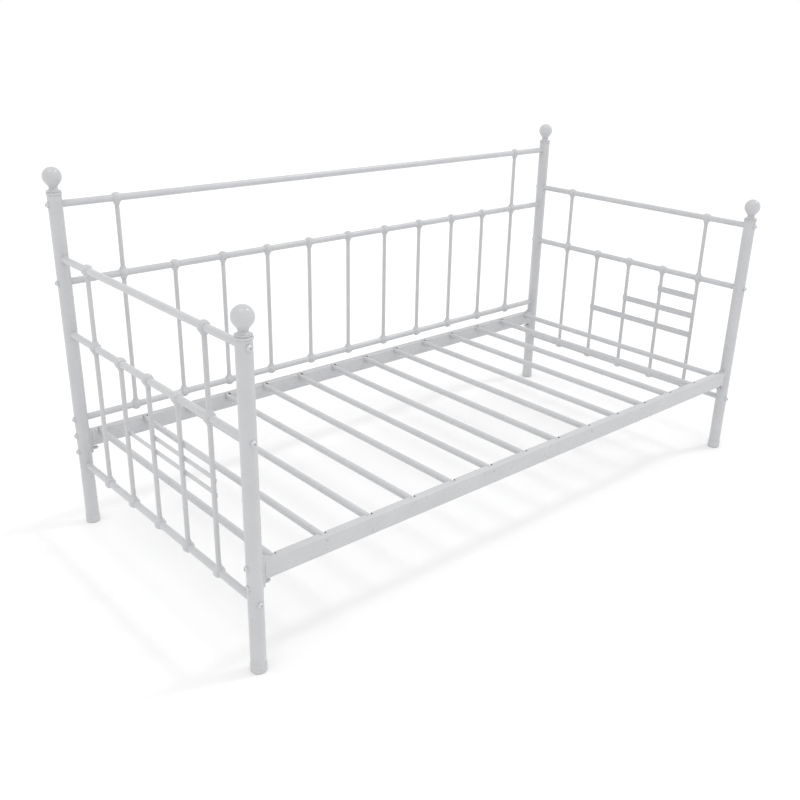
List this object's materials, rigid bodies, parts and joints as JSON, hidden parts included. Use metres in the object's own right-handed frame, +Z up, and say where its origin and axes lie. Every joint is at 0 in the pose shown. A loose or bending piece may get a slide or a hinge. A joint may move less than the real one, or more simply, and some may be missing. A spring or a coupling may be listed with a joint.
{
  "type": "metal daybed frame",
  "caption": "Powder-coated metal daybed frame: round posts with ball finials, spindled back and end panels, cast knuckles and a deck of round tube slats.",
  "frame": {"origin": "on the floor at the centre of the footprint of the whole frame", "axes": "+X along the length to the right-hand end panel, +Y across the bed to the back panel, +Z up"},
  "size_m": [2.1152, 1.0052, 1.1015],
  "materials": {
    "powder_coat": "glossy white powder coat",
    "cast_white": "glossy white powder coat over a casting",
    "foot_caps": "satin white moulded plastic",
    "slat_plugs": "satin white moulded plastic",
    "fasteners": "bright zinc plate",
    "washers": "bright zinc plate",
    "hidden_hardware": "plain zinc plate"
  },
  "bodies": {
    "root": {"back_bottom_knuckles": "cast_white", "back_bottom_rail": "powder_coat", "back_middle_knuckles": "cast_white", "back_middle_rail": "powder_coat", "back_spindles": "powder_coat", "back_top_knuckles": "cast_white", "back_top_rail": "powder_coat", "back_upper_spindles": "powder_coat", "finial_back_left": "cast_white", "finial_back_right": "cast_white", "finial_front_left": "cast_white", "finial_front_right": "cast_white", "finial_studs": "hidden_hardware", "foot_cap_back_left": "foot_caps", "foot_cap_back_right": "foot_caps", "foot_cap_front_left": "foot_caps", "foot_cap_front_right": "foot_caps", "left_end_bottom_rail": "powder_coat", "left_end_knuckles": "cast_white", "left_end_ladder_bars": "powder_coat", "left_end_middle_rail": "powder_coat", "left_end_spindles": "powder_coat", "left_end_top_rail": "powder_coat", "panel_rail_bolts": "fasteners", "post_back_left": "powder_coat", "post_back_right": "powder_coat", "post_front_left": "powder_coat", "post_front_right": "powder_coat", "post_top_plugs": "hidden_hardware", "rail_end_inserts": "hidden_hardware", "right_end_bottom_rail": "powder_coat", "right_end_knuckles": "cast_white", "right_end_ladder_bars": "powder_coat", "right_end_middle_rail": "powder_coat", "right_end_spindles": "powder_coat", "right_end_top_rail": "powder_coat", "saddle_washers": "washers", "side_rail_back": "powder_coat", "side_rail_bolts": "fasteners", "side_rail_end_plates": "powder_coat", "side_rail_front": "powder_coat", "side_rail_nuts": "fasteners", "slat_01": "powder_coat", "slat_02": "powder_coat", "slat_03": "powder_coat", "slat_04": "powder_coat", "slat_05": "powder_coat", "slat_06": "powder_coat", "slat_07": "powder_coat", "slat_08": "powder_coat", "slat_09": "powder_coat", "slat_10": "powder_coat", "slat_11": "powder_coat", "slat_12": "powder_coat", "slat_13": "powder_coat", "slat_14": "powder_coat", "slat_bored_plugs": "slat_plugs", "slat_end_plugs": "slat_plugs", "slat_screws": "fasteners"}
  },
  "joints": []
}
